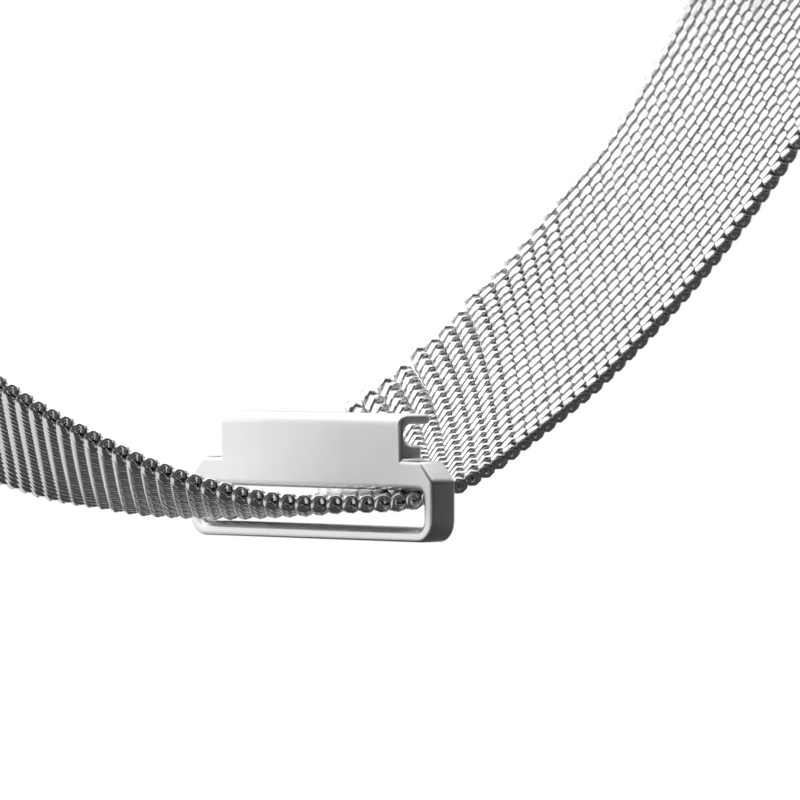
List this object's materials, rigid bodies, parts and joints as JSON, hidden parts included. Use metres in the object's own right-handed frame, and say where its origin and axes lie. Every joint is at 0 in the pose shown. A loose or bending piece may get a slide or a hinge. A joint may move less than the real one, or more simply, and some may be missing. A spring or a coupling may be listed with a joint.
{
  "type": "milanese mesh watch band",
  "caption": "Woven steel mesh band threaded through a slotted hook buckle, with a hook lug and a magnet tab at its ends.",
  "frame": {"origin": "middle of the buckle's slot, at half its height, length and depth", "axes": "+X along the slot, +Y through the slot to the wearer's side, +Z from the slot to the buckle's hook"},
  "size_m": [0.1006, 0.0687, 0.074],
  "materials": {
    "mesh_wire": "bright drawn wire, lightly worn",
    "buckle_steel": "satin, polished edges",
    "lug_steel": "satin, polished edges",
    "tab_steel": "satin",
    "pin_steel": "polished",
    "keeper_iron": "plain rolled",
    "magnet": "nickel plated"
  },
  "bodies": {
    "buckle": {"buckle": "buckle_steel"},
    "band_in_slot": {"mesh_in_slot": "mesh_wire"},
    "upper_link_01": {"mesh_upper_01": "mesh_wire"},
    "upper_link_02": {"mesh_upper_02": "mesh_wire"},
    "upper_link_03": {"mesh_upper_03": "mesh_wire"},
    "upper_link_04": {"mesh_upper_04": "mesh_wire"},
    "upper_link_05": {"mesh_upper_05": "mesh_wire"},
    "upper_link_06": {"mesh_upper_06": "mesh_wire"},
    "upper_link_07": {"mesh_upper_07": "mesh_wire"},
    "upper_link_08": {"mesh_upper_08": "mesh_wire"},
    "upper_link_09": {"mesh_upper_09": "mesh_wire"},
    "upper_link_10": {"mesh_upper_10": "mesh_wire"},
    "upper_link_11": {"mesh_upper_11": "mesh_wire"},
    "upper_link_12": {"mesh_upper_12": "mesh_wire", "lug_end_row": "mesh_wire"},
    "free_link_01": {"mesh_free_01": "mesh_wire"},
    "free_link_02": {"mesh_free_02": "mesh_wire"},
    "free_link_03": {"mesh_free_03": "mesh_wire"},
    "free_link_04": {"mesh_free_04": "mesh_wire"},
    "free_link_05": {"mesh_free_05": "mesh_wire"},
    "free_link_06": {"mesh_free_06": "mesh_wire", "tab_end_row": "mesh_wire"},
    "end_lug": {"end_lug": "lug_steel", "lug_pin": "pin_steel"},
    "magnet_tab": {"tab_case": "tab_steel", "tab_pin": "pin_steel", "tab_back_plate": "tab_steel", "keeper_plate": "keeper_iron", "magnet_1": "magnet", "magnet_2": "magnet", "magnet_3": "magnet"}
  },
  "joints": [
    {"name": "band_slide", "type": "slide", "parent": "buckle", "child": "band_in_slot", "axis": [0.6361, 0.7716, 0], "range_m": [0, 0.003]},
    {"name": "upper_curl_01", "type": "hinge", "parent": "band_in_slot", "child": "upper_link_01", "pos_m": [0.006, 0.00576, 0.00428], "axis": [0.7062, -0.538, -0.4602], "range_deg": [-5, 7]},
    {"name": "upper_curl_02", "type": "hinge", "parent": "upper_link_01", "child": "upper_link_02", "pos_m": [0.0114, 0.00977, 0.01134], "axis": [0.5999, -0.372, -0.7083], "range_deg": [-5, 7]},
    {"name": "upper_curl_03", "type": "hinge", "parent": "upper_link_02", "child": "upper_link_03", "pos_m": [0.01538, 0.0143, 0.01742], "axis": [0.6015, -0.3348, -0.7254], "range_deg": [-5, 7]},
    {"name": "upper_curl_04", "type": "hinge", "parent": "upper_link_03", "child": "upper_link_04", "pos_m": [0.01909, 0.01828, 0.02415], "axis": [0.5913, -0.2871, -0.7536], "range_deg": [-5, 7]},
    {"name": "upper_curl_05", "type": "hinge", "parent": "upper_link_04", "child": "upper_link_05", "pos_m": [0.02241, 0.02183, 0.03136], "axis": [0.5789, -0.2469, -0.7771], "range_deg": [-5, 7]},
    {"name": "upper_curl_06", "type": "hinge", "parent": "upper_link_05", "child": "upper_link_06", "pos_m": [0.02564, 0.02554, 0.03859], "axis": [0.5789, -0.2469, -0.7771], "range_deg": [-5, 7]},
    {"name": "upper_curl_07", "type": "hinge", "parent": "upper_link_06", "child": "upper_link_07", "pos_m": [0.03144, 0.02722, 0.04505], "axis": [0.5789, -0.2469, -0.7771], "range_deg": [-5, 7]},
    {"name": "upper_curl_08", "type": "hinge", "parent": "upper_link_07", "child": "upper_link_08", "pos_m": [0.03756, 0.02553, 0.05087], "axis": [0.5789, -0.2469, -0.7771], "range_deg": [-5, 7]},
    {"name": "upper_curl_09", "type": "hinge", "parent": "upper_link_08", "child": "upper_link_09", "pos_m": [0.04252, 0.02097, 0.05621], "axis": [0.5789, -0.2469, -0.7771], "range_deg": [-5, 7]},
    {"name": "upper_curl_10", "type": "hinge", "parent": "upper_link_09", "child": "upper_link_10", "pos_m": [0.04548, 0.01422, 0.06062], "axis": [0.5789, -0.2469, -0.7771], "range_deg": [-5, 7]},
    {"name": "upper_curl_11", "type": "hinge", "parent": "upper_link_10", "child": "upper_link_11", "pos_m": [0.04602, 0.00617, 0.06359], "axis": [0.5789, -0.2469, -0.7771], "range_deg": [-5, 7]},
    {"name": "upper_curl_12", "type": "hinge", "parent": "upper_link_11", "child": "upper_link_12", "pos_m": [0.04405, -0.00211, 0.06475], "axis": [0.5789, -0.2469, -0.7771], "range_deg": [-5, 7]},
    {"name": "free_curl_01", "type": "hinge", "parent": "band_in_slot", "child": "free_link_01", "pos_m": [-0.00539, -0.00658, 0.00023], "axis": [-0.7689, 0.6338, -0.0837], "range_deg": [-5, 7]},
    {"name": "free_curl_02", "type": "hinge", "parent": "free_link_01", "child": "free_link_02", "pos_m": [-0.0102, -0.01269, 0.00254], "axis": [-0.7443, 0.6312, -0.2181], "range_deg": [-5, 7]},
    {"name": "free_curl_03", "type": "hinge", "parent": "free_link_02", "child": "free_link_03", "pos_m": [-0.01453, -0.01842, 0.00613], "axis": [-0.709, 0.6185, -0.3387], "range_deg": [-5, 7]},
    {"name": "free_curl_04", "type": "hinge", "parent": "free_link_03", "child": "free_link_04", "pos_m": [-0.01937, -0.02326, 0.0112], "axis": [-0.6985, 0.6137, -0.3681], "range_deg": [-5, 7]},
    {"name": "free_curl_05", "type": "hinge", "parent": "free_link_04", "child": "free_link_05", "pos_m": [-0.02481, -0.02664, 0.017], "axis": [-0.6985, 0.6137, -0.3681], "range_deg": [-5, 7]},
    {"name": "free_curl_06", "type": "hinge", "parent": "free_link_05", "child": "free_link_06", "pos_m": [-0.03008, -0.02897, 0.02344], "axis": [-0.6985, 0.6137, -0.3681], "range_deg": [-5, 7]},
    {"name": "lug_turn", "type": "hinge", "parent": "upper_link_12", "child": "end_lug", "pos_m": [0.03902, -0.01057, 0.0637], "axis": [0.5789, -0.2469, -0.7771], "range_deg": [-40, 40]},
    {"name": "tab_turn", "type": "hinge", "parent": "free_link_06", "child": "magnet_tab", "pos_m": [-0.03563, -0.03045, 0.03157], "axis": [-0.6985, 0.6137, -0.3681], "range_deg": [-40, 40]}
  ],
  "couplings": [
    {"joint": "upper_curl_02", "follows": "upper_curl_01", "ratio": 1},
    {"joint": "upper_curl_03", "follows": "upper_curl_01", "ratio": 1},
    {"joint": "upper_curl_04", "follows": "upper_curl_01", "ratio": 1},
    {"joint": "upper_curl_05", "follows": "upper_curl_01", "ratio": 1},
    {"joint": "upper_curl_06", "follows": "upper_curl_01", "ratio": 1},
    {"joint": "upper_curl_07", "follows": "upper_curl_01", "ratio": 1},
    {"joint": "upper_curl_08", "follows": "upper_curl_01", "ratio": 1},
    {"joint": "upper_curl_09", "follows": "upper_curl_01", "ratio": 1},
    {"joint": "upper_curl_10", "follows": "upper_curl_01", "ratio": 1},
    {"joint": "upper_curl_11", "follows": "upper_curl_01", "ratio": 1},
    {"joint": "upper_curl_12", "follows": "upper_curl_01", "ratio": 1},
    {"joint": "free_curl_02", "follows": "free_curl_01", "ratio": 1},
    {"joint": "free_curl_03", "follows": "free_curl_01", "ratio": 1},
    {"joint": "free_curl_04", "follows": "free_curl_01", "ratio": 1},
    {"joint": "free_curl_05", "follows": "free_curl_01", "ratio": 1},
    {"joint": "free_curl_06", "follows": "free_curl_01", "ratio": 1}
  ]
}
